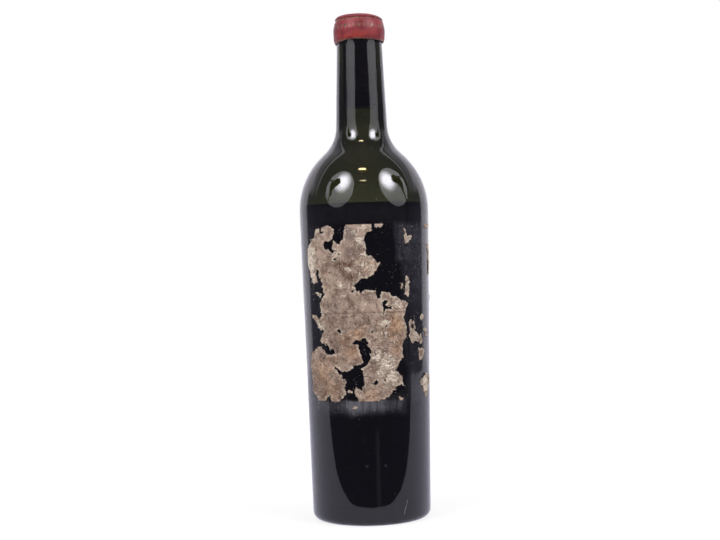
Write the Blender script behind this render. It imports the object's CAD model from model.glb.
"""The looks of an old corked wine bottle: dark mould-blown glass, red wine up to the shoulder, a short
lacquered foil capsule and what is left of a torn, stained paper label. Metres, +Z up, label to -Y."""

import math
from functools import partial

import bpy
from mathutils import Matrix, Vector, kdtree, noise

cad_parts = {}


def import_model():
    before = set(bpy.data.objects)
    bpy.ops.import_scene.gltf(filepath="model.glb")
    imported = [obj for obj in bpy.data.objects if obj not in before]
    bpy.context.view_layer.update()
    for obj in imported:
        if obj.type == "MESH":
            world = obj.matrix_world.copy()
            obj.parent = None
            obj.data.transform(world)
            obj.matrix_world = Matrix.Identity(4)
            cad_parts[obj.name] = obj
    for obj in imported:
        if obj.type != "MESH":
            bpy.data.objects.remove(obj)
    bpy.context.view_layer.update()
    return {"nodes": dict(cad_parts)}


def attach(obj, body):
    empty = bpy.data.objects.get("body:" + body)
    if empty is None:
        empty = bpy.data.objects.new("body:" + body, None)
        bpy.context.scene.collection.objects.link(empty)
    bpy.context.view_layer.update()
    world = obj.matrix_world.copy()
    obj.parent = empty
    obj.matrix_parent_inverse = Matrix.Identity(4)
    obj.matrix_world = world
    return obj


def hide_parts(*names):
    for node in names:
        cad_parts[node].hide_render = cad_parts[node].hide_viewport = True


MM = 0.001

# The glass. A corner of a turned outline is (radius, height, fillet radius); the outside runs down
# from the mouth to the middle of the punt, the inside up from the middle of the floor to the bore.
BODY_TAPER = 0.0193
FOOT_RADIUS = 0.0360
BODY_WALL = 0.0038
MIDDLE_RADIUS = 0.0385  # the body's outer radius behind the middle of the label
MOUTH = (0.0100, 0.3063, 0.0008)
OUTSIDE = [
    MOUTH,
    (0.0126, 0.3063, 0.0012),
    (0.0148, 0.2982, 0.0042),
    (0.0143, 0.2922, 0.0008),
    (0.01385, 0.2912, 0.0006),
    (0.01606, 0.2302, 0.0230),
    (0.0400, 0.2070, 0.0460),
    (FOOT_RADIUS, 0.0, 0.0047),
    (0.0286, 0.0, 0.0032),
    (0.0063, 0.0240, 0.0063),
    (0.0, 0.0240, 0.0),
]
INSIDE = [
    (0.0, 0.0305, 0.0),
    (0.0073, 0.0305, 0.0063),
    (0.0245, 0.0095, 0.0030),
    (FOOT_RADIUS + BODY_TAPER * 0.0068 - BODY_WALL, 0.0068, 0.0045),
    (FOOT_RADIUS + BODY_TAPER * 0.2044 - BODY_WALL, 0.2044, 0.0480),
    (0.0123, 0.2280, 0.0195),
    (MOUTH[0], 0.2457, 0.0210),
]
GLASS_STEP = 0.0025  # the longest stretch of the outline between two rings of the mesh
GLASS_SIDES = 176
BODY_WAVE = 0.00006  # how far the blown glass wanders from a true turned shape, on body and neck
NECK_WAVE = 0.00013
NECK_WAVE_FROM = (0.190, 0.045)  # the height where the neck's waves begin, and over what height they grow
TRUE_FOOT = 0.012  # the waves die out below this height, so that the bottle stands flat
RING_HEIGHT = 0.2698  # where the neck's mould met the body's
SEAM_ACROSS = 0.0046  # an upright seam low on the body, to the right of the front
SEAM_FOOT = 0.0060
SEAM_TOP = 0.0560

WINE_IN_WALL = 0.0003  # the wine reaches this far into the wall, so that no air shows between them
WINE_LEVEL = 0.1900
MENISCUS = 0.0011

CORK_RADIUS = 0.0099
CORK_FOOT = 0.2512
CORK_TOP = 0.3050
CORK_EDGE = 0.0006
CORK_BANDS = 18
CORK_PINCH = 0.00012

# The capsule's outside, from the middle of its top to its lower edge.
CAPSULE_FOOT = 0.2906
CAPSULE_RADIUS = 0.0159
TOP_RADIUS = 0.0147
CAPSULE = [
    (0.0, 0.30660, 0.0),
    (0.0088, 0.30670, 0.0030),
    (0.0106, 0.30705, 0.0020),
    (0.0139, 0.3069, 0.0026),
    (TOP_RADIUS, 0.3053, 0.0007),
    (0.0143, 0.3043, 0.0005),
    (0.0150, 0.3028, 0.0010),
    (CAPSULE_RADIUS, 0.2980, 0.0063),
    (0.0156, 0.2930, 0.0021),
    (0.0151, 0.2909, 0.0006),
    (0.0147, CAPSULE_FOOT, 0.0),
]
CAPSULE_SIDES = 260
CAPSULE_STEP = 0.00035
FOIL = 0.00030
TUCKS = 0.00045  # how deep the foil is tucked in at its lower edge
DENTS = 0.00018
CRINKLES = 0.00008
TOP_PRESSED = 0.0011  # how far the top's right edge is pressed down
TOP_PRESSED_FROM = (0.3035, 0.0035)  # the height where that begins, and over what height it grows
SIDE_RADIUS = 0.0135  # within this radius the top keeps clear of the beads and dents of the side
WAVY_BELOW = 0.2952
EDGE_WAVES = ((1, 0.00060, -1.07), (3, 0.00018, 1.0), (5, 0.00012, 2.6))  # waves, height, phase
BEAD_COUNT = 34
BEAD_HEIGHT = 0.2996  # the middle of the row of beads pressed into the foil
BEAD_SIZE = 0.0015  # half a bead's height
BEAD_RELIEF = 0.00014

PAPER_THICKNESS = 0.00012
PAPER_LIFT = 0.00020  # the paper's outer face above the glass, where it lies flat
PAPER_GRID = 0.0011  # the side of the squares that let it bend
FRAY_STEP = 0.00030  # how finely its rim is divided
FRAY = ((0.00120, 260, 1.7), (0.00100, 800, 4.1), (0.00060, 1800, 6.2))  # how far, how fine, which noise
FRAY_FROM_CUT = 0.0025  # how far from a straight cut edge the fibres are as loose as anywhere
COCKLES = 0.00012  # how far the soaked paper stands off in broad waves, and in small ones
SMALL_COCKLES = 0.00005
CURL = 0.00055  # about how far a loose torn edge stands off the glass
CURL_REACH = 0.0026
PRESSED_BEYOND = 0.045  # the scraps further round than this lie closer to the glass
TORN_RIM = 0.0014  # how wide a torn edge shows the paper's core
TORN_FROM_CUT = 0.0015
LABEL_TOP = 0.1781
LABEL_FOOT = 0.0741
LABEL_LEFT = -0.0410
CREASE_HEIGHT = 0.1262
CREASE_SIDES = (-0.009, 0.026)  # between these the old fold stands up in a ridge
CREASE_RELIEF = 0.00018
CREASE_WIDE = 0.0006
MAP_SCALE = 10  # the paper's flat map has 10 units to the metre, so that one is 100 mm

# Places on the label that differ from the rest. Each is millimetres round from the front and up, how
# far it reaches, and how strong it is. First where the face is rubbed off and pale.
RUBBED = (
    (-38, 163, 7, 1.3), (-38, 156, 7, 1.3), (-37, 149, 6, 1.3), (-35, 143, 4, 0.8), (-3, 168, 5, 0.9),
    (0, 161, 4, 0.9), (-6, 174, 4, 0.5), (-1, 177, 5, 0.6), (-17, 160, 4, 0.8), (-10, 151, 2, 1.0),
    (2, 154, 8, 0.5), (-2, 148, 6, 0.5), (-5, 143, 4, 0.8), (-16, 143, 3, 0.9), (-13, 137, 3, 0.5),
    (10, 132, 4, 0.9), (11, 121, 5, 1.0), (11, 113, 3, 0.7), (20, 131, 5, 0.7), (23, 128, 3, 0.6),
    (5, 101, 6, 0.9), (12, 97, 8, 1.0), (15, 88, 8, 1.2), (8, 91, 6, 0.7), (20, 80, 4, 0.6),
    (-30, 118, 5, 0.7), (42, 82, 10, 1.3), (33, 112, 8, 0.8), (28, 168, 6, 0.3), (27, 141, 5, 0.1),
    (38, 120, 6, 0.8), (60, 156, 14, 1.4), (68, 84, 9, 0.8), (64, 126, 7, 0.7), (68, 172, 6, 0.8),
)
TANNED = (
    (17, 118, 12, 0.9), (-8, 104, 9, 0.8), (-5, 113, 7, 1.0), (-13, 111, 7, 0.9), (-30, 91, 12, 0.6),
    (-24, 80, 9, 0.7), (2, 77, 6, 0.7), (-22, 100, 8, 0.6), (20, 105, 8, 0.7), (2, 153, 8, 0.6),
)
GREYED = (
    (-9, 172, 7, 0.9), (-9, 162, 5, 0.9), (4, 116, 4, 0.9), (-14, 116, 4, 0.8), (-20, 130, 10, 0.4),
    (3, 134, 5, 0.5), (-22, 108, 6, 0.3), (27, 141, 6, 0.8), (28, 169, 6, 0.6),
)
STAINED = (
    (-11, 154, 7, 1.0), (-16, 155, 5, 0.8), (-11, 148, 4, 0.8), (-5, 141, 2, 0.6), (-8, 134, 6, 0.35),
    (-13, 110, 6, 0.7), (-10, 104, 4, 0.4), (-31, 82, 8, 0.35), (-18, 84, 5, 0.4),
)

# Dried glue and dust on the glass: left, right, foot and top in metres, how soft the edge is, how thick.
GLUE = (
    (0.0195, 0.0410, 0.156, 0.1785, 0.0022, 0.060),
    (0.0245, 0.0410, 0.131, 0.156, 0.0030, 0.050),
    (0.0230, 0.0410, 0.104, 0.131, 0.0030, 0.026),
    (-0.0415, -0.0290, 0.163, 0.1785, 0.0020, 0.036),
    (-0.0415, -0.0280, 0.098, 0.150, 0.0030, 0.030),
    (0.0260, 0.0420, 0.074, 0.104, 0.0030, 0.030),
    (0.0430, 0.0860, 0.076, 0.1780, 0.0040, 0.030),
    (0.0060, 0.0240, 0.0680, 0.0770, 0.0020, 0.030),
    (-0.0900, 0.0900, 0.1786, 0.1890, 0.0010, 0.004),
)
# Dust under the label's foot: from side to side, where it is thickest, and the heights it fades between.
DUST_SIDES = (-0.0400, 0.0240)
THICK_DUST_SIDES = (-0.0150, 0.0080)
DUST_FADES = (0.0645, 0.0715)
# Where crumbs of paper are left: from side to side, and from foot to top.
CRUMB_SIDES = (-0.0420, 0.0860)
CRUMB_HEIGHTS = (LABEL_FOOT - 0.008, LABEL_TOP + 0.0012)
# A scratch low on the right: its heights, where its line would meet the table, and how it leans.
SCRATCH_HEIGHTS = (0.0060, 0.0150)
SCRATCH_ACROSS = 0.0190
SCRATCH_LEAN = 0.35
# Two small round marks, side by side.
MARKS_ACROSS = (-0.0023, 0.0092)
MARKS_HEIGHT = 0.0361

# The camera, from the outline in the photograph: 1269 pixels of focal length in 720 across.
CAMERA_PLACE = (0.0, -0.7812, 0.1491)
FOCAL_PIXELS = 1269
PHOTO_WIDTH = 720
SENSOR = 36.0
ROLL = math.radians(1.58)
AXIS_RIGHT_OF_MIDDLE = 5.63  # pixels
HORIZON_BELOW_MIDDLE = 3.7

# The white sheet that the bottle mirrors: how far before the bottle's axis it ends, how wide and deep
# it is, and how fast its front edge comes forward left and right beyond the middle. A wave draws that
# edge back: how far, how far aside, and how wide.
SHEET_FRONT = 0.0868
SHEET_SIZE = 1.7
SHEET_MIDDLE = 0.06
SHEET_SPREAD = (0.05, -0.01)
SHEET_WAVE = 0.0038
WAVE_ASIDE = 0.045
WAVE_WIDE = 0.020
SHEET_STEPS = 340

# The rest of the studio, round a point in the bottle's shoulder. A part of a lamp's head is how far
# outwards and up it lies, its radius and length, and which way it points.
AIM = Vector((0.0, 0.0, 0.2))
UMBRELLA_AWAY = 1.25
UMBRELLA_REACH = 0.62
UMBRELLA_NARROWED = 0.95
LAMP_BEFORE = 0.8  # the lamp's distance as a share of its umbrella's
LAMP_HEAD = (
    (0.12, 0.15, 0.095, 0.10, "Z"),
    (0.30, 0.19, 0.020, 0.24, "X"),
    (0.24, 0.05, 0.085, 0.20, "Y"),
    (0.26, -0.10, 0.045, 0.16, "Y"),
)
STAND_OUTWARDS = 0.27
STAND_RADIUS = 0.012
CEILING_AWAY = 1.2
SOFT_LIGHT_AWAY = 1.7

# Linear light of what the glass mirrors: the sheet, the backdrop low down, and high up. More than 1 is
# brighter than the white behind the bottle.
SHEET_LIGHT = (0.90, 0.885, 1.06, 1.0)
LOW_LIGHT = (0.135, 0.130, 0.190, 1.0)
HIGH_LIGHT = (1.12, 1.08, 1.22, 1.0)

EASED = {"interpolation_type": "SMOOTHSTEP"}  # a map range that starts and ends gently
OF_COLOURS = {"data_type": "RGBA", "give": 2}  # a mix that takes and gives colours


def linear(hex_colour):
    """An sRGB hex colour as the linear numbers that shaders take."""
    parts = [int(hex_colour[i:i + 2], 16) / 255 for i in (1, 3, 5)]
    return (*[c / 12.92 if c <= 0.04045 else ((c + 0.055) / 1.055) ** 2.4 for c in parts], 1.0)


def add_node(tree, kind, *feeds, give=0, **settings):
    """Adds a shader node and returns one of its outputs. The feeds go to its sockets in order; a setting
    is a choice of the node's own or a socket by its name. What is fed is a value or another output."""
    node = tree.nodes.new("ShaderNode" + kind)
    sockets = {socket.identifier.replace(" ", "_"): socket for socket in node.inputs}
    fed = list(zip(node.inputs, feeds))
    for name, value in settings.items():
        if name in sockets:
            fed.append((sockets[name], value))
        else:
            setattr(node, name, value)
    for socket, value in fed:
        if isinstance(value, bpy.types.NodeSocket):
            tree.links.new(value, socket)
        else:
            socket.default_value = value
    return node.outputs[give] if node.outputs else node


def new_finish(name):
    """A material with no nodes yet, and what adds nodes to it."""
    made = bpy.data.materials.new(name)
    made.use_nodes = True
    made.node_tree.nodes.clear()
    return made, partial(add_node, made.node_tree)


def round_and_up(add, place):
    """How far a place on the body lies round it from the front, to the right, and how high, in metres."""
    x, y, z = (add("SeparateXYZ", place, give=axis) for axis in "XYZ")
    turn = add("Math", x, add("Math", y, -1.0, operation="MULTIPLY"), operation="ARCTAN2")
    return add("Math", turn, MIDDLE_RADIUS, operation="MULTIPLY"), z


def apart(add, value, middle):
    """How far a value lies from another, either way."""
    return add("Math", add("Math", value, middle, operation="SUBTRACT"), operation="ABSOLUTE")


def band(add, value, low, high, ease):
    """One where a value lies between two limits and nought elsewhere, with eased edges."""
    rise = add("MapRange", value, low - ease, low + ease, **EASED)
    fall = add("MapRange", value, high - ease, high + ease, 1.0, 0.0, **EASED)
    return add("Math", rise, fall, operation="MULTIPLY")


def near_places(add, flat, places):
    """How much the strongest of some places on the label counts at a point of its flat map, where a
    millimetre is a hundredth."""
    total = 0.0
    for across, up, reach, share in places:
        away = add("VectorMath", flat, (across / 100, up / 100, 0.0), operation="DISTANCE", give="Value")
        here = add("MapRange", away, 0.15 * reach / 100, reach / 100, share, 0.0, **EASED)
        total = add("Math", here, total, operation="MAXIMUM")
    return total


def glass_dirt(add, place):
    """How thickly the glass is covered with dried glue and dust, and how much of that is pale crumbs."""
    # the glue's edges wander every 10 mm
    push = add("TexNoise", place, Scale=95.0, Detail=3.0, give="Color")
    push = add("VectorMath", push, (0.5, 0.5, 0.5), operation="SUBTRACT")
    pushed = add("VectorMath", push, (0.008, 0.008, 0.008), place, operation="MULTIPLY_ADD")
    across, up = round_and_up(add, pushed)
    glue = 0.0
    for left, right, foot, top, ease, thick in GLUE:
        here = add("Math", band(add, across, left, right, ease), band(add, up, foot, top, ease),
                   operation="MULTIPLY")
        glue = add("Math", here, thick, glue, operation="MULTIPLY_ADD")
    # the glue is mottled every 3 mm, and a wiping cloth left upright streaks 1 mm apart
    blots = add("TexNoise", place, Scale=300.0, Detail=4.0, Roughness=0.65)
    blots = add("MapRange", blots, 0.36, 0.64, 0.5, 1.5)
    stretched = add("Mapping", place, Scale=(900.0, 900.0, 60.0))
    streaks = add("MapRange", add("TexNoise", stretched, Scale=1.0, Detail=2.0), 0.35, 0.65, 0.7, 1.3)
    glue = add("Math", glue, add("Math", blots, streaks, operation="MULTIPLY"), operation="MULTIPLY")
    # grey dust under the foot of the label, thickest in front, brushed upright and fading downwards
    foot = add("Math", band(add, across, *DUST_SIDES, 0.0040),
               add("MapRange", up, *DUST_FADES, **EASED), operation="MULTIPLY")
    foot = add("Math", foot, add("MapRange", up, LABEL_FOOT, LABEL_FOOT + 0.001, 1.0, 0.0),
               operation="MULTIPLY")
    thick = add("Math", band(add, across, *THICK_DUST_SIDES, 0.0060), 0.15, 0.065,
                operation="MULTIPLY_ADD")
    foot = add("Math", add("Math", foot, thick, operation="MULTIPLY"), streaks, operation="MULTIPLY")
    glue = add("Math", foot, glue, operation="ADD")
    # crumbs of paper about 0.8 mm across, in clusters of 7 mm where the label was
    exact_across, exact_up = round_and_up(add, place)
    footprint = add("Math", band(add, exact_across, *CRUMB_SIDES, 0.0010),
                    band(add, exact_up, *CRUMB_HEIGHTS, 0.0006), operation="MULTIPLY")
    clusters = add("MapRange", add("TexNoise", place, Scale=150.0, Detail=2.0), 0.42, 0.66)
    grains = add("TexNoise", place, Scale=1250.0, Detail=2.0, Roughness=0.6)
    crumbs = add("MapRange", add("Math", clusters, 0.09, grains, operation="MULTIPLY_ADD"), 0.72, 0.78)
    crumbs = add("Math", crumbs, footprint, operation="MULTIPLY")
    # a pale scratch low on the right, a dusty seam, two small round marks and specks of dust of 0.6 mm
    slant = add("Math", exact_up, SCRATCH_LEAN, SCRATCH_ACROSS, operation="MULTIPLY_ADD")
    scratch = add("MapRange", apart(add, exact_across, slant), 0.0001, 0.0004, 0.22, 0.0)
    scratch = add("Math", scratch, band(add, exact_up, *SCRATCH_HEIGHTS, 0.0010), operation="MULTIPLY")
    marks = add("MapRange", apart(add, exact_across, SEAM_ACROSS), 0.0003, 0.0018, 0.007, 0.0)
    marks = add("Math", marks, band(add, exact_up, SEAM_FOOT, SEAM_TOP, 0.0040), operation="MULTIPLY")
    for middle in MARKS_ACROSS:
        aside = add("Math", exact_across, middle, operation="SUBTRACT")
        above = add("Math", exact_up, MARKS_HEIGHT, operation="SUBTRACT")
        away = add("VectorMath", add("CombineXYZ", aside, above, 0.0), operation="LENGTH", give="Value")
        marks = add("Math", add("MapRange", away, 0.0002, 0.0010, 0.085, 0.0), marks, operation="ADD")
    specks = add("TexNoise", place, Scale=1700.0, Detail=1.0)
    specks = add("MapRange", specks, 0.760, 0.80, 0.0, 0.25)
    marks = add("Math", add("Math", scratch, specks, operation="ADD"), marks, operation="ADD")
    cover = add("Math", add("Math", crumbs, 0.30, glue, operation="MULTIPLY_ADD"), marks, operation="ADD")
    return add("Math", cover, 0.9, operation="MINIMUM"), crumbs


def bottle_glass():
    """Olive-green bottle glass, blown into a mould: glossy and gently wavy, so deep in colour that it
    looks black over the wine, with dried glue and dust where the label was."""
    made, add = new_finish("mould_blown_bottle_glass")
    place = add("TexCoord", give="Object")
    cover, crumbs = glass_dirt(add, place)
    dust = add("Mix", crumbs, A_Color=linear("#9895A1"), B_Color=linear("#A2917F"), **OF_COLOURS)
    shown = add("MapRange", cover, 0.0, 0.02)
    colour = add("Mix", shown, A_Color=linear("#FFFFFF"), B_Color=dust, **OF_COLOURS)
    clear = add("Math", 1.0, cover, operation="SUBTRACT")
    rough = add("Math", cover, 1.5, 0.015, operation="MULTIPLY_ADD")

    # a raised ring where the neck's mould met the body's, the seam low on the body, and ripples of 3 mm
    across, up = round_and_up(add, place)
    ring = add("MapRange", apart(add, up, RING_HEIGHT), 0.0, 0.0007, 0.30, 0.0, **EASED)
    seam = add("MapRange", apart(add, across, SEAM_ACROSS), 0.0, 0.0006, 0.2, 0.0, **EASED)
    seam = add("Math", seam, band(add, up, SEAM_FOOT, SEAM_TOP, 0.0040), operation="MULTIPLY")
    ripple = add("TexNoise", place, Scale=320.0, Detail=2.0)
    relief = add("Math", ripple, 0.03, add("Math", ring, seam, operation="ADD"), operation="MULTIPLY_ADD")
    normal = add("Bump", 1.0, 0.00008, Height=relief)
    skin = add("BsdfPrincipled", colour, Roughness=rough, IOR=1.52, Transmission_Weight=clear,
               Normal=normal)
    # 4 mm of this glass lets through about a fifth of the red and green light, and less of the blue
    depth = add("VolumeAbsorption", (0.201, 0.217, 0.0, 1.0), 498.0)
    add("OutputMaterial", skin, depth)
    return made


def red_wine():
    """Old red wine: glossy and clear, black in the depth of a bottle and tawny only at its rim."""
    made, add = new_finish("old_red_wine")
    place = add("TexCoord", give="Object")
    up = add("SeparateXYZ", place, give="Z")
    rim = add("MapRange", up, WINE_LEVEL - 0.0010, WINE_LEVEL + MENISCUS, **EASED)
    # it is a little cloudy, every 17 mm
    cloud = add("MapRange", add("TexNoise", place, Scale=60.0, Detail=2.0), 0.3, 0.7)
    deep = add("Mix", cloud, A_Color=linear("#0E0305"), B_Color=linear("#160607"), **OF_COLOURS)
    colour = add("Mix", rim, A_Color=deep, B_Color=linear("#24120C"), **OF_COLOURS)
    skin = add("BsdfPrincipled", colour, Roughness=0.03, IOR=1.34, Specular_IOR_Level=0.15)
    add("OutputMaterial", skin)
    return made


def natural_cork():
    """Natural cork, punched from bark: matt, dark brown with age, with darker pores, and stained by the
    wine at its foot."""
    made, add = new_finish("natural_cork")
    place = add("TexCoord", give="Object")
    up = add("SeparateXYZ", place, give="Z")
    # bark has a grain of about 2.5 mm, with pores of 1 mm
    grain = add("TexNoise", place, Scale=420.0, Detail=4.0, Roughness=0.6)
    pores = add("MapRange", add("TexNoise", place, Scale=900.0, Detail=2.0), 0.60, 0.68)
    tan = add("Mix", grain, A_Color=linear("#3A281E"), B_Color=linear("#5C4434"), **OF_COLOURS)
    pored = add("Mix", pores, A_Color=tan, B_Color=linear("#1E130E"), **OF_COLOURS)
    stain = add("MapRange", up, CORK_FOOT + 0.001, CORK_FOOT + 0.012, 1.0, 0.0)
    colour = add("Mix", stain, A_Color=pored, B_Color=linear("#260E11"), **OF_COLOURS)
    normal = add("Bump", 1.0, 0.0002, Height=add("Math", grain, pores, operation="SUBTRACT"))
    add("OutputMaterial", add("BsdfPrincipled", colour, Roughness=0.85, Normal=normal))
    return made


def lacquered_foil():
    """Soft tin foil with a red lacquer, pressed over the lip: satin dull red, rubbed through to dark
    grey-brown metal in the groove, on the beads and along the lower edge."""
    made, add = new_finish("lacquered_tin_foil")
    place = add("TexCoord", give="Object")
    up = add("SeparateXYZ", place, give="Z")
    raised = add("Attribute", attribute_name="raised", give="Fac")
    # the lacquer has faded in patches of 6 mm, and its rubbing breaks up at a millimetre and less
    patches = add("TexNoise", place, Scale=160.0, Detail=3.0)
    fine = add("TexNoise", place, Scale=1100.0, Detail=4.0, Roughness=0.65)
    mixed = add("Math", fine, 0.55, add("Math", patches, 0.45, operation="MULTIPLY"),
                operation="MULTIPLY_ADD")
    red = add("Mix", add("MapRange", patches, 0.36, 0.64), A_Color=linear("#651F24"),
              B_Color=linear("#80292E"), **OF_COLOURS)
    low = add("MapRange", up, 0.2930, 0.2972, 1.0, 0.0, **EASED)
    fresh = add("Math", low, add("MapRange", patches, 0.48, 0.58), operation="MULTIPLY")
    red = add("Mix", fresh, A_Color=red, B_Color=linear("#8A2A20"), **OF_COLOURS)
    top = add("MapRange", up, 0.3046, 0.3064, 0.0, 0.6, **EASED)
    red = add("Mix", top, A_Color=red, B_Color=linear("#7E3A40"), **OF_COLOURS)
    soiled = add("MapRange", fine, 0.32, 0.47, 0.50, 0.0)
    red = add("Mix", soiled, A_Color=red, B_Color=linear("#34100F"), **OF_COLOURS)
    groove = add("Math", band(add, up, 0.3036, 0.3049, 0.0005), 0.65, operation="MULTIPLY")
    hem = add("MapRange", up, 0.2912, 0.2930, 0.8, 0.0, **EASED)
    beads = band(add, raised, 0.25, 0.70, 0.15)
    wear = add("Math", add("Math", groove, hem, operation="MAXIMUM"), beads, operation="MAXIMUM")
    bare = add("MapRange", add("Math", wear, 0.30, mixed, operation="MULTIPLY_ADD"), 0.64, 0.76)
    metal = add("Mix", add("MapRange", fine, 0.42, 0.62), A_Color=linear("#31201E"),
                B_Color=linear("#806654"), **OF_COLOURS)
    colour = add("Mix", bare, A_Color=red, B_Color=metal, **OF_COLOURS)
    shine = add("Math", bare, 0.35, operation="MULTIPLY")
    rough = add("Math", fine, 0.30, 0.30, operation="MULTIPLY_ADD")
    normal = add("Bump", 1.0, 0.00012, Height=mixed)
    skin = add("BsdfPrincipled", colour, Metallic=shine, Roughness=rough, Specular_IOR_Level=0.3,
               Normal=normal)
    add("OutputMaterial", skin)
    return made


def label_paper():
    """Uncoated printing paper, glued, soaked and dried: matt grey-beige, its face rubbed off in pale
    fibrous scuffs, with brown water stains, fine scratches and a lighter core along the tears."""
    made, add = new_finish("uncoated_label_paper")
    # the map's unit is 100 mm, and what lies on it has edges that wander every 5 mm
    flat = add("UVMap", uv_map="flat")
    push = add("TexNoise", flat, Scale=20.0, Detail=4.0, Roughness=0.6, give="Color")
    push = add("VectorMath", push, (0.5, 0.5, 0.5), operation="SUBTRACT")
    moved = add("VectorMath", push, (0.11, 0.11, 0.0), flat, operation="MULTIPLY_ADD")

    # blotches of 8 mm, tufts of 2.5 mm and grain of 0.8 mm, about as fine as a picture of it shows
    blotches = add("TexNoise", flat, Scale=12.0, Detail=3.0, Roughness=0.6)
    tufts = add("TexNoise", flat, Scale=42.0, Detail=4.0, Roughness=0.65, Distortion=0.6)
    grain = add("TexNoise", flat, Scale=125.0, Detail=4.0, Roughness=0.7)
    tone = add("Math", blotches, 0.50, add("Math", tufts, 0.36, operation="MULTIPLY"),
               operation="MULTIPLY_ADD")
    tone = add("Math", grain, 0.22, tone, operation="MULTIPLY_ADD")
    light = add("MapRange", tone, 0.46, 0.62)
    base = add("Mix", light, A_Color=linear("#6C574C"), B_Color=linear("#A48E80"), **OF_COLOURS)
    tan = add("Mix", light, A_Color=linear("#765845"), B_Color=linear("#AF8E72"), **OF_COLOURS)
    tanned = near_places(add, moved, TANNED)
    base = add("Mix", tanned, A_Color=base, B_Color=tan, **OF_COLOURS)
    greyed = add("Math", near_places(add, moved, GREYED), 0.75, operation="MULTIPLY")
    base = add("Mix", greyed, A_Color=base, B_Color=linear("#625651"), **OF_COLOURS)
    uneven = add("MapRange", tufts, 0.40, 0.56, 0.60, 1.0)
    stained = add("Math", near_places(add, moved, STAINED), uneven, operation="MULTIPLY")
    base = add("Mix", stained, A_Color=base, B_Color=linear("#4F3327"), **OF_COLOURS)

    # fibres lie in strokes 2 to 4 mm long, about half a millimetre wide, in two directions
    leaning = add("Mapping", moved, Rotation=(0.0, 0.0, 0.85), Scale=(34.0, 150.0, 1.0))
    falling = add("Mapping", moved, Rotation=(0.0, 0.0, -0.95), Scale=(30.0, 170.0, 1.0))
    strokes = add("Math", add("TexNoise", leaning, Scale=1.0, Detail=2.0, Distortion=0.8),
                  add("TexNoise", falling, Scale=1.0, Detail=2.0, Distortion=0.8), operation="MAXIMUM")
    fibrous = add("Math", strokes, 0.6, add("Math", grain, 0.4, operation="MULTIPLY"),
                  operation="MULTIPLY_ADD")
    rubbed = near_places(add, moved, RUBBED)
    lifted = add("Math", rubbed, 0.16, fibrous, operation="MULTIPLY_ADD")
    pale = add("MapRange", lifted, 0.590, 0.680, 0.0, 0.95)
    fibre = add("Mix", add("MapRange", grain, 0.38, 0.60), A_Color=linear("#AC9988"),
                B_Color=linear("#E4D8CA"), **OF_COLOURS)
    base = add("Mix", pale, A_Color=base, B_Color=fibre, **OF_COLOURS)
    # the torn edge shows the paper's lighter core, in a broken line under a millimetre wide
    torn = add("Attribute", attribute_name="torn", give="Fac")
    core = add("Math", torn, add("MapRange", tufts, 0.42, 0.56, 0.10, 1.0), operation="MULTIPLY")
    base = add("Mix", core, A_Color=base, B_Color=linear("#C2B2A2"), **OF_COLOURS)

    # fine scratches about 2.5 mm apart cross the lower half, and dirt lies in pits and in the old fold
    scored = 0.0
    for turn, spacing in ((0.80, 38.0), (-0.65, 46.0)):
        laid = add("Mapping", moved, Rotation=(0.0, 0.0, turn), Scale=(7.0, spacing, 1.0))
        line = apart(add, add("TexNoise", laid, Scale=1.0, Detail=1.0), 0.5)
        line = add("MapRange", line, 0.010, 0.050, 1.0, 0.0)
        scored = add("Math", line, scored, operation="MAXIMUM")
    height = add("SeparateXYZ", flat, give="Y")
    strength = add("MapRange", height, 1.32, 1.12, 0.12, 0.46)
    strength = add("Math", rubbed, 0.20, strength, operation="MULTIPLY_ADD")
    scored = add("Math", scored, strength, operation="MULTIPLY")
    base = add("Mix", scored, A_Color=base, B_Color=linear("#4A372B"), **OF_COLOURS)
    pits = add("MapRange", add("TexNoise", flat, Scale=70.0, Detail=2.0), 0.25, 0.31, 0.85, 0.0)
    fold = add("MapRange", apart(add, height, CREASE_HEIGHT * MAP_SCALE), 0.001, 0.006, 0.40, 0.0)
    dirty = add("Math", pits, fold, operation="MAXIMUM")
    base = add("Mix", dirty, A_Color=base, B_Color=linear("#2E2623"), **OF_COLOURS)

    relief = add("Math", pale, 0.5, add("Math", tufts, grain, operation="ADD"), operation="MULTIPLY_ADD")
    normal = add("Bump", 1.0, 0.00016, Height=relief)
    skin = add("BsdfPrincipled", base, Roughness=0.88, Specular_IOR_Level=0.25, Normal=normal)
    add("OutputMaterial", skin)
    return made


def rounded(corners, chord=0.00003):
    """The line through (radius, height, fillet) corners, each turned with an arc of its fillet."""
    line = [Vector(corners[0][:2])]
    for before, corner, after in zip(corners, corners[1:], corners[2:]):
        at = Vector(corner[:2])
        fillet = corner[2]
        back = (Vector(before[:2]) - at).normalized()
        ahead = (Vector(after[:2]) - at).normalized()
        turn = math.pi - back.angle(ahead)
        reach = fillet * math.tan(turn / 2)
        middle = at + (back + ahead).normalized() * math.hypot(reach, fillet)
        spoke = at + back * reach - middle
        side = math.copysign(1.0, spoke.cross(at + ahead * reach - middle))
        steps = math.ceil(turn / (2 * math.acos(1 - chord / fillet)))
        for step in range(steps + 1):
            angle = side * turn * step / steps
            line.append(middle + Vector((spoke.x * math.cos(angle) - spoke.y * math.sin(angle),
                                         spoke.x * math.sin(angle) + spoke.y * math.cos(angle))))
    line.append(Vector(corners[-1][:2]))
    return line


def divided(line, longest):
    """The same line with more points, so that no stretch is longer than a limit."""
    finer = [line[0]]
    for start, end in zip(line, line[1:]):
        parts = max(1, math.ceil((end - start).length / longest))
        finer.extend(start.lerp(end, part / parts) for part in range(1, parts + 1))
    return finer


def body_radius(height):
    """The outer radius of the glass at a height below the shoulder."""
    return FOOT_RADIUS + BODY_TAPER * height


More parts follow.
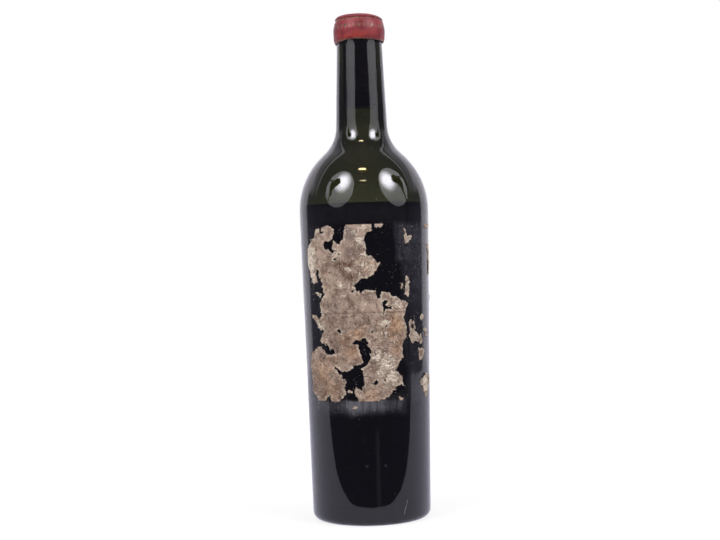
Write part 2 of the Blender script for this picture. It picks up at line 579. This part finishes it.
def wander(place):
    """How far the blown glass stands out from its true turned shape at a place on it."""
    foot, growth = NECK_WAVE_FROM
    neck = min(max((place.z - foot) / growth, 0.0), 1.0)
    low = noise.noise(Vector((place.x * 26, place.y * 26, place.z * 17 + 3.0))) * BODY_WAVE
    high = noise.noise(Vector((place.x * 75, place.y * 75, place.z * 36))) * NECK_WAVE
    return (low * (1 - neck) + high * neck) * min(max(place.z / TRUE_FOOT, 0.0), 1.0)


def select_only(piece):
    """Makes one piece the active one, and the only one selected."""
    bpy.ops.object.select_all(action="DESELECT")
    bpy.context.view_layer.objects.active = piece
    piece.select_set(True)


def pick(piece, kind, wanted):
    """Goes into edit mode with only those vertices, edges or faces selected that a test wants."""
    bpy.ops.object.mode_set(mode="EDIT")
    bpy.ops.mesh.select_mode(type=kind)
    bpy.ops.mesh.select_all(action="DESELECT")
    bpy.ops.object.mode_set(mode="OBJECT")
    mesh = piece.data
    for part in {"VERT": mesh.vertices, "EDGE": mesh.edges, "FACE": mesh.polygons}[kind]:
        part.select = wanted(part)
    bpy.ops.object.mode_set(mode="EDIT")


def spun(name, line, sides):
    """One vertex, drawn along a line of (radius, height) and spun round the bottle's axis."""
    bpy.ops.object.select_all(action="DESELECT")
    bpy.ops.mesh.primitive_plane_add(size=0.002, location=(0.0, 0.0, 0.0))
    piece = bpy.context.object
    piece.name = piece.data.name = name
    bpy.ops.object.mode_set(mode="EDIT")
    bpy.ops.mesh.select_mode(type="VERT")
    bpy.ops.mesh.select_all(action="SELECT")
    bpy.ops.mesh.merge(type="CENTER")
    bpy.ops.transform.translate(value=(line[0].x, 0.0, line[0].y))
    for start, end in zip(line, line[1:]):
        step = (end.x - start.x, 0.0, end.y - start.y)
        bpy.ops.mesh.extrude_region_move(TRANSFORM_OT_translate={"value": step})
    bpy.ops.mesh.select_all(action="SELECT")
    bpy.ops.mesh.spin(steps=sides, angle=math.tau, center=(0, 0, 0), axis=(0, 0, 1))
    bpy.ops.mesh.select_all(action="SELECT")
    bpy.ops.mesh.remove_doubles(threshold=0.000002)
    bpy.ops.mesh.normals_make_consistent(inside=False)
    bpy.ops.object.mode_set(mode="OBJECT")
    return piece


def add_wall(piece, thickness):
    """Gives an open skin its thickness, inwards."""
    select_only(piece)
    bpy.ops.object.modifier_add(type="SOLIDIFY")
    wall = piece.modifiers[-1]
    wall.thickness = thickness
    wall.offset = -1
    bpy.ops.object.modifier_apply(modifier=wall.name)


def finished(piece, finish, slot, *nodes, sharp=40):
    """Settles a piece's place, shading and finish, what it rides on and the plain solids it replaces."""
    select_only(piece)
    bpy.ops.object.transform_apply(location=True, rotation=True, scale=True)
    bpy.ops.object.shade_smooth_by_angle(angle=math.radians(sharp))
    piece.data.materials.clear()
    piece.data.materials.append(finish)
    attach(piece, "root")
    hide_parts(*nodes)


def make_glass():
    """A turned shell of one line, up the inside and down the outside, that wanders as blown glass does."""
    line = divided(rounded([*INSIDE, *OUTSIDE]), GLASS_STEP)
    glass = spun("blown_glass", line, GLASS_SIDES)
    for vert in glass.data.vertices:
        out = Vector((vert.co.x, vert.co.y, 0.0))
        if out.length > MM:
            vert.co += out.normalized() * wander(vert.co)
    finished(glass, bottle_glass(), "dark_green_glass", "glass_bottle")


def make_wine():
    """The wine fills the inside from the floor up, its edge drawn up the wall in a small meniscus."""
    wall = []
    inside = rounded(INSIDE)
    for low, high in zip(inside, inside[1:]):
        wall.append(low)
        if high.y >= WINE_LEVEL:
            wall.append(low.lerp(high, (WINE_LEVEL - low.y) / (high.y - low.y)))
            break
    sunk = []
    for before, at, after in zip([wall[0], *wall], wall, [*wall[1:], wall[-1]]):
        along = (after - before).normalized()
        sunk.append(at + Vector((along.y, -along.x)) * WINE_IN_WALL)
    sunk[0].x = 0.0
    edge = sunk[-1].x
    rise = [(0.0, MENISCUS), (0.0006, 0.55 * MENISCUS), (0.0014, 0.25 * MENISCUS), (0.0030, 0.0)]
    top = [Vector((edge - inward, WINE_LEVEL + up)) for inward, up in rise]
    line = divided([*sunk[:-1], *top, Vector((0.0, WINE_LEVEL))], 0.006)
    finished(spun("red_wine_fill", line, 96), red_wine(), "red_wine", "wine")


def make_cork():
    """A cylinder rounded at its ends and cut into bands, its side pinched unevenly like old bark."""
    bpy.ops.object.select_all(action="DESELECT")
    bpy.ops.mesh.primitive_cylinder_add(vertices=64, radius=CORK_RADIUS, depth=CORK_TOP - CORK_FOOT,
                                        location=(0.0, 0.0, (CORK_TOP + CORK_FOOT) / 2))
    cork = bpy.context.object
    cork.name = cork.data.name = "cork_stopper"
    bpy.ops.object.transform_apply(location=True, rotation=True, scale=True)
    verts = cork.data.vertices
    pick(cork, "EDGE", lambda edge: abs(verts[edge.vertices[0]].co.z - verts[edge.vertices[1]].co.z) < MM)
    bpy.ops.mesh.bevel(offset=CORK_EDGE, segments=3)
    for level in range(1, CORK_BANDS):
        bpy.ops.mesh.select_all(action="SELECT")
        height = CORK_FOOT + (CORK_TOP - CORK_FOOT) * level / CORK_BANDS
        bpy.ops.mesh.bisect(plane_co=(0, 0, height), plane_no=(0, 0, 1))
    bpy.ops.object.mode_set(mode="OBJECT")
    for vert in cork.data.vertices:
        pinch = abs(noise.noise(vert.co * 260.0)) * CORK_PINCH / CORK_RADIUS
        vert.co.x *= 1 - pinch
        vert.co.y *= 1 - pinch
    finished(cork, natural_cork(), "aged_cork", "cork")


def bead_at(turn, height):
    """How much of a bead or a bar there is at a place on the foil, some rubbed nearly flat."""
    cell = turn * BEAD_COUNT / math.tau
    number = math.floor(cell)
    across = (cell - number - 0.5) * math.tau * CAPSULE_RADIUS / BEAD_COUNT
    wide = BEAD_SIZE * (0.34 if number % 3 == 1 else 0.64)
    inside = 1 - (abs(across) / wide) ** 2 - (abs(height - BEAD_HEIGHT) / BEAD_SIZE) ** 2
    pressed = 0.60 + 0.40 * noise.noise(Vector((number * 0.73, 0.0, 4.0)))
    return pressed * min(max(inside * 2.5, 0.0), 1.0)


def make_capsule():
    """A turned skin of foil, then its uneven lower edge, its tucks, dents and beads, then its wall."""
    capsule = spun("foil_capsule", divided(rounded(CAPSULE, 0.00001), CAPSULE_STEP), CAPSULE_SIDES)
    press_foot, press_growth = TOP_PRESSED_FROM
    raised = []
    for vert in capsule.data.vertices:
        place = vert.co.copy()
        out = Vector((place.x, place.y, 0.0))
        turn = math.atan2(place.y, place.x)
        share = max(0.0, (WAVY_BELOW - place.z) / (WAVY_BELOW - CAPSULE_FOOT))
        drop = share * sum(high * math.cos(count * turn - phase) for count, high, phase in EDGE_WAVES)
        side = min(1.0, out.length / SIDE_RADIUS) ** 8
        tucks = noise.noise(Vector((math.cos(turn) * 5.5, math.sin(turn) * 5.5, 7.0 + place.z * 60)))
        crinkle = noise.noise(place * 620.0)
        bead = bead_at(turn, place.z) * side
        raised.append(bead)
        push = -abs(tucks) * TUCKS * share - noise.noise(place * 190.0) * DENTS * side
        push += bead * BEAD_RELIEF - crinkle * CRINKLES
        if out.length > MM:
            vert.co += out.normalized() * push
        pressed = max(0.0, place.z - press_foot) / press_growth * max(0.0, place.x / TOP_RADIUS) ** 2
        vert.co.z += drop + crinkle * CRINKLES - pressed * TOP_PRESSED
    layer = capsule.data.attributes.new(name="raised", type="FLOAT", domain="POINT")
    layer.data.foreach_set("value", raised)
    add_wall(capsule, FOIL)
    finished(capsule, lacquered_foil(), "red_painted_foil", "capsule")


def rim_of(mesh):
    """The edges, as pairs of vertex numbers, that only one face of a sheet uses."""
    uses = {}
    for face in mesh.polygons:
        for key in face.edge_keys:
            uses[key] = uses.get(key, 0) + 1
    return {key for key, count in uses.items() if count == 1}


def flat_copy(node, name):
    """The outer face of a plain solid's paper, laid out flat: X round the glass and Y up."""
    piece = node.copy()
    piece.data = node.data.copy()
    piece.name = piece.data.name = name
    piece.parent = None
    for key in [key for key in piece.keys() if key.startswith("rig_")]:
        del piece[key]
    bpy.context.scene.collection.objects.link(piece)
    select_only(piece)
    bpy.ops.object.mode_set(mode="EDIT")
    bpy.ops.mesh.select_all(action="SELECT")
    bpy.ops.mesh.remove_doubles(threshold=0.000005)
    bpy.ops.object.mode_set(mode="OBJECT")
    pick(piece, "FACE", lambda face: face.normal.dot(
        Vector((face.center.x, face.center.y, 0.0)).normalized()) < 0.6)
    bpy.ops.mesh.delete(type="FACE")
    bpy.ops.object.mode_set(mode="OBJECT")
    for vert in piece.data.vertices:
        turn = math.atan2(vert.co.x, -vert.co.y)
        vert.co = Vector((turn * body_radius(vert.co.z), vert.co.z, 0.0))
    return piece


def from_cut(spot):
    """How far a point of flat paper lies from the label's straight cut edges."""
    return min(abs(spot.y - LABEL_TOP), abs(spot.y - LABEL_FOOT), abs(spot.x - LABEL_LEFT))


def fray(piece):
    """Moves a sheet about like broken fibres, its straight cut edges hardly."""
    for vert in piece.data.vertices:
        spot = vert.co
        loose = min(1.0, 0.10 + from_cut(spot) / FRAY_FROM_CUT)
        moved = Vector((0.0, 0.0, 0.0))
        for share, per_metre, layer in FRAY:
            at = Vector((spot.x * per_metre, spot.y * per_metre, layer))
            moved += Vector((noise.noise(at), noise.noise(at + Vector((0.0, 0.0, 20.5))), 0.0)) * share
        spot.x += moved.x * loose
        spot.y += moved.y * loose


def divide_rim(piece):
    """Joins a flat sheet's faces and divides its rim finely."""
    bpy.ops.object.mode_set(mode="EDIT")
    bpy.ops.mesh.select_all(action="SELECT")
    bpy.ops.mesh.dissolve_limited(angle_limit=0.02)
    bpy.ops.object.mode_set(mode="OBJECT")
    mesh = piece.data
    for _ in range(5):
        rim = rim_of(mesh)
        pick(piece, "EDGE", lambda edge: tuple(sorted(edge.vertices)) in rim and (
            mesh.vertices[edge.vertices[0]].co - mesh.vertices[edge.vertices[1]].co).length > FRAY_STEP)
        bpy.ops.mesh.subdivide(number_cuts=1)
        bpy.ops.object.mode_set(mode="OBJECT")


def cut_in_squares(piece):
    """Cuts a flat sheet along a grid, so that it can bend and cockle."""
    spots = [vert.co.copy() for vert in piece.data.vertices]
    bpy.ops.object.mode_set(mode="EDIT")
    bpy.ops.mesh.select_mode(type="FACE")
    bpy.ops.mesh.select_all(action="SELECT")
    bpy.ops.mesh.quads_convert_to_tris()
    for axis, facing in ((0, (1, 0, 0)), (1, (0, 1, 0))):
        low = math.floor(min(spot[axis] for spot in spots) / PAPER_GRID)
        high = math.ceil(max(spot[axis] for spot in spots) / PAPER_GRID)
        for count in range(low, high + 1):
            bpy.ops.mesh.select_all(action="SELECT")
            bpy.ops.mesh.bisect(plane_co=Vector(facing) * count * PAPER_GRID, plane_no=facing)
    bpy.ops.mesh.select_all(action="SELECT")
    bpy.ops.mesh.remove_doubles(threshold=0.00004)
    bpy.ops.mesh.dissolve_degenerate(threshold=0.00002)
    bpy.ops.mesh.quads_convert_to_tris()
    bpy.ops.object.mode_set(mode="OBJECT")


def cockle(spot, to_rim):
    """How far the paper stands off the glass: cockled where it was soaked, loose at a torn edge."""
    broad = noise.noise(Vector((spot.x * 95, spot.y * 95, 0.3)))
    small = noise.noise(Vector((spot.x * 310, spot.y * 310, 2.6)))
    up = COCKLES * max(0.0, broad + 0.2) + SMALL_COCKLES * small
    if CREASE_SIDES[0] < spot.x < CREASE_SIDES[1]:
        up += CREASE_RELIEF * math.exp(-((spot.y - CREASE_HEIGHT) / CREASE_WIDE) ** 2)
    edge = max(0.0, 1 - to_rim / CURL_REACH)
    loose = max(0.0, noise.noise(Vector((spot.x * 85, spot.y * 85, 9.0))) + 0.05)
    if abs(spot.x) > PRESSED_BEYOND:
        loose *= 0.2
    return max(0.0, up) + CURL * 2 * loose * edge ** 2


def map_flat(piece):
    """Gives a flat sheet its UV map, true to size."""
    mesh = piece.data
    for layer in list(mesh.uv_layers):
        mesh.uv_layers.remove(layer)
    flat_map = mesh.uv_layers.new(name="flat")
    for loop in mesh.loops:
        spot = mesh.vertices[loop.vertex_index].co
        flat_map.data[loop.index].uv = (spot.x * MAP_SCALE, spot.y * MAP_SCALE)


def lay_on_glass(piece):
    """Bends a flat sheet round the glass, cockled and loose, and keeps how near its tears each point is."""
    mesh = piece.data
    rim = sorted({end for key in rim_of(mesh) for end in key})
    tree = kdtree.KDTree(len(rim))
    for number, end in enumerate(rim):
        tree.insert(mesh.vertices[end].co, number)
    tree.balance()
    torn = []
    for vert in mesh.vertices:
        spot = vert.co.copy()
        to_rim = tree.find(spot)[2]
        torn.append(max(0.0, 1 - to_rim / TORN_RIM) * min(1.0, from_cut(spot) / TORN_FROM_CUT))
        turn = spot.x / body_radius(spot.y)
        outwards = Vector((math.sin(turn), -math.cos(turn), 0.0))
        on_glass = outwards * body_radius(spot.y)
        on_glass.z = spot.y
        vert.co = on_glass + outwards * (PAPER_LIFT + wander(on_glass) + cockle(spot, to_rim))
    mesh.attributes.new(name="torn", type="FLOAT", domain="POINT").data.foreach_set("value", torn)


def make_paper(node, name, finish):
    """One piece of the label, frayed flat and then laid on the glass."""
    piece = flat_copy(node, name)
    divide_rim(piece)
    cut_in_squares(piece)
    fray(piece)
    map_flat(piece)
    lay_on_glass(piece)
    add_wall(piece, PAPER_THICKNESS)
    finished(piece, finish, "stained_paper", node.name, sharp=60)


def make_label(nodes):
    """Each piece of paper among the plain solids, all with the same finish."""
    finish = label_paper()
    for name in sorted(nodes):
        if name.startswith(("label_", "scrap_")):
            make_paper(nodes[name], "paper_" + name.split("_", 1)[1], finish)


def towards(azimuth, elevation):
    """The direction from the bottle at an azimuth from the camera's side, to the right, in degrees."""
    turn, lift = math.radians(azimuth), math.radians(elevation)
    return Vector((math.sin(turn) * math.cos(lift), -math.cos(turn) * math.cos(lift), math.sin(lift)))


def only_mirrored(thing):
    """What only the glass and the foil show, as a reflection."""
    thing.visible_camera = False
    thing.visible_diffuse = False
    thing.visible_shadow = False


def make_umbrella(name, azimuth, inner, off_middle):
    """A photographer's umbrella, which the bottle mirrors: a wide soft disc with a bright core, and in
    front of it the dark head of the lamp on its stand. Inner is 1 where the disc's X runs to the axis,
    and off_middle is how far that way the core lies."""
    reach = UMBRELLA_REACH
    away = towards(azimuth, 30)
    facing = away.to_track_quat("Z", "Y")
    bpy.ops.object.select_all(action="DESELECT")
    bpy.ops.mesh.primitive_circle_add(vertices=64, radius=reach, fill_type="NGON",
                                      location=AIM + away * UMBRELLA_AWAY, rotation=facing.to_euler())
    disc = bpy.context.object
    disc.name = name
    disc.scale = (UMBRELLA_NARROWED, 1.0, 1.0)
    cloth, add = new_finish(name + "_cloth")
    place = add("TexCoord", give="Object")
    off_core = add("VectorMath", place, (off_middle * inner * reach, 0.36 * reach, 0.0),
                   operation="DISTANCE", give="Value")
    core = add("MapRange", off_core, 0.14 * reach, 0.66 * reach, 20.0, 0.0, **EASED)
    low = add("MapRange", add("SeparateXYZ", place, give="Y"), -0.7 * reach, 0.0, 1.8, 2.8)
    light = add("Math", core, low, operation="ADD")
    add("OutputMaterial", add("Emission", linear("#F8F6FF"), light))
    disc.data.materials.append(cloth)

    black, add = new_finish(name + "_lamp_black")
    add("OutputMaterial", add("BsdfPrincipled", linear("#0A0A0A"), Roughness=0.8))
    parts = [disc]
    lamp = AIM + away * UMBRELLA_AWAY * LAMP_BEFORE
    for out, up, thick, long, along in LAMP_HEAD:
        spot = lamp + facing @ Vector((-out * inner, up, 0.0))
        pointing = facing @ Vector([float(axis == along) for axis in "XYZ"])
        bpy.ops.mesh.primitive_cylinder_add(vertices=24, radius=thick, depth=long, location=spot,
                                            rotation=pointing.to_track_quat("Z", "Y").to_euler())
        parts.append(bpy.context.object)
    stand = lamp + facing @ Vector((-STAND_OUTWARDS * inner, 0.0, 0.0))
    bpy.ops.mesh.primitive_cylinder_add(vertices=12, radius=STAND_RADIUS, depth=stand.z,
                                        location=(stand.x, stand.y, stand.z / 2))
    parts.append(bpy.context.object)
    for number, thing in enumerate(parts[1:]):
        thing.name = f"{name}_lamp_{number}"
        thing.data.materials.append(black)
    for thing in parts:
        only_mirrored(thing)


def make_ceiling_lamp(name, azimuth, elevation, width, height):
    """A small warm lamp, seen only as a highlight on the shoulder and the neck."""
    away = towards(azimuth, elevation)
    bpy.ops.mesh.primitive_plane_add(size=1.0, location=AIM + away * CEILING_AWAY,
                                     rotation=away.to_track_quat("Z", "Y").to_euler())
    lamp = bpy.context.object
    lamp.name = name
    lamp.scale = (width, height, 1.0)
    warm, add = new_finish(name + "_tube")
    add("OutputMaterial", add("Emission", linear("#FFDC9E"), 60.0))
    lamp.data.materials.append(warm)
    only_mirrored(lamp)


def make_soft_light(name, azimuth, elevation, power):
    """A wide lamp that lights the paper and the foil, and that nothing mirrors."""
    away = towards(azimuth, elevation)
    bpy.ops.object.light_add(type="AREA", location=Vector((0.0, 0.0, 0.15)) + away * SOFT_LIGHT_AWAY,
                             rotation=away.to_track_quat("Z", "Y").to_euler())
    light = bpy.context.object
    light.name = name
    light.data.shape = "DISK"
    light.data.size = 1.2
    light.data.energy = power
    light.visible_camera = False
    light.visible_glossy = False
    light.visible_transmission = False


def make_floor():
    """A white floor that brightens towards the back, and for what the glass mirrors of it a sheet that
    ends close before the bottle, beyond which the room is dark."""
    paper, add = new_finish("white_paper_sweep")
    back = add("SeparateXYZ", add("TexCoord", give="Object"), give="Y")
    glow = add("MapRange", back, 0.10, 0.90, 0.735, 0.90, **EASED)
    skin = add("BsdfPrincipled", linear("#898989"), Roughness=0.9, Specular_IOR_Level=0.1,
               Emission_Color=linear("#FFFFFF"), Emission_Strength=glow)
    add("OutputMaterial", skin)
    bpy.ops.object.select_all(action="DESELECT")
    bpy.ops.mesh.primitive_plane_add(size=12.0, location=(0.0, 0.0, 0.0))
    floor = bpy.context.object
    floor.name = "floor"
    floor.data.materials.append(paper)
    floor.visible_glossy = False
    floor.visible_transmission = False

    mirrored, add = new_finish("mirrored_paper")
    add("OutputMaterial", add("Emission", SHEET_LIGHT, 1.0))
    bpy.ops.mesh.primitive_grid_add(x_subdivisions=SHEET_STEPS, y_subdivisions=1, size=SHEET_SIZE,
                                    location=(0.0, 0.0, 0.0002))
    sheet = bpy.context.object
    sheet.name = "mirrored_sheet"
    for vert in sheet.data.vertices:
        if vert.co.y < 0:
            aside = abs(vert.co.x)
            spread = SHEET_SPREAD[vert.co.x > 0] * max(0.0, aside - SHEET_MIDDLE)
            wave = SHEET_WAVE * math.exp(-((aside - WAVE_ASIDE) / WAVE_WIDE) ** 2)
            vert.co.y = -SHEET_FRONT - spread + wave
    sheet.data.materials.append(mirrored)
    only_mirrored(sheet)


def make_room():
    """White behind the bottle, and for what the glass mirrors from the camera's side a dark room."""
    world = bpy.data.worlds.new("studio")
    bpy.context.scene.world = world
    world.use_nodes = True
    world.node_tree.nodes.clear()
    add = partial(add_node, world.node_tree)
    direction = add("TexCoord", give="Generated")
    x, y, z = (add("SeparateXYZ", direction, give=axis) for axis in "XYZ")
    off_back = add("Math", add("Math", x, y, operation="ARCTAN2"), operation="ABSOLUTE")
    low_white = add("MapRange", off_back, math.radians(54), math.radians(60), 1.0, 0.0)
    # high up, the backdrop ends in a dim strip and a bright edge overhead
    slope = add("Math", y, add("Math", z, 0.001, operation="MAXIMUM"), operation="DIVIDE")
    full = add("MapRange", slope, 0.95, 1.15, 0.38, 1.0)
    high_white = add("Math", full, add("MapRange", slope, 0.50, 0.52), operation="MULTIPLY")
    high_white = add("Math", high_white, band(add, slope, 0.34, 0.44, 0.02), operation="MAXIMUM")
    high = add("MapRange", z, 0.25, 0.40)
    white = add("Mix", high, A_Float=low_white, B_Float=high_white)
    mirrored = add("Mix", white, A_Color=LOW_LIGHT, B_Color=HIGH_LIGHT, **OF_COLOURS)
    seen = add("LightPath", give="Is Camera Ray")
    lighting = add("Mix", seen, A_Color=(0.75, 0.75, 0.77, 1.0), B_Color=(1.0, 1.0, 1.0, 1.0), **OF_COLOURS)
    by_glass = add("Math", add("LightPath", give="Is Glossy Ray"),
                   add("LightPath", give="Is Transmission Ray"), operation="MAXIMUM")
    colour = add("Mix", by_glass, A_Color=lighting, B_Color=mirrored, **OF_COLOURS)
    add("OutputWorld", add("Background", colour, 1.0))


def make_camera():
    bpy.ops.object.camera_add(location=CAMERA_PLACE, rotation=(math.radians(90), ROLL, 0.0))
    camera = bpy.context.object
    camera.data.sensor_width = SENSOR
    camera.data.lens = SENSOR * FOCAL_PIXELS / PHOTO_WIDTH
    camera.data.shift_x = -AXIS_RIGHT_OF_MIDDLE / PHOTO_WIDTH
    camera.data.shift_y = HORIZON_BELOW_MIDDLE / PHOTO_WIDTH
    camera.data.clip_start = 0.01
    bpy.context.scene.camera = camera
    bpy.context.scene.view_settings.view_transform = "Standard"


def make_studio():
    make_camera()
    make_floor()
    make_room()
    make_umbrella("left_umbrella", -48, 1, 0.12)
    make_umbrella("right_umbrella", 63, -1, 0.28)
    make_ceiling_lamp("upper_lamp", -1, 64, 0.22, 0.036)
    make_ceiling_lamp("lower_lamp", 0, 43.5, 0.17, 0.024)
    make_soft_light("left_light", -50, 42, 14.0)
    make_soft_light("right_light", 60, 42, 14.0)


def main():
    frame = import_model()
    make_studio()
    make_glass()
    make_wine()
    make_cork()
    make_capsule()
    make_label(frame["nodes"])


main()
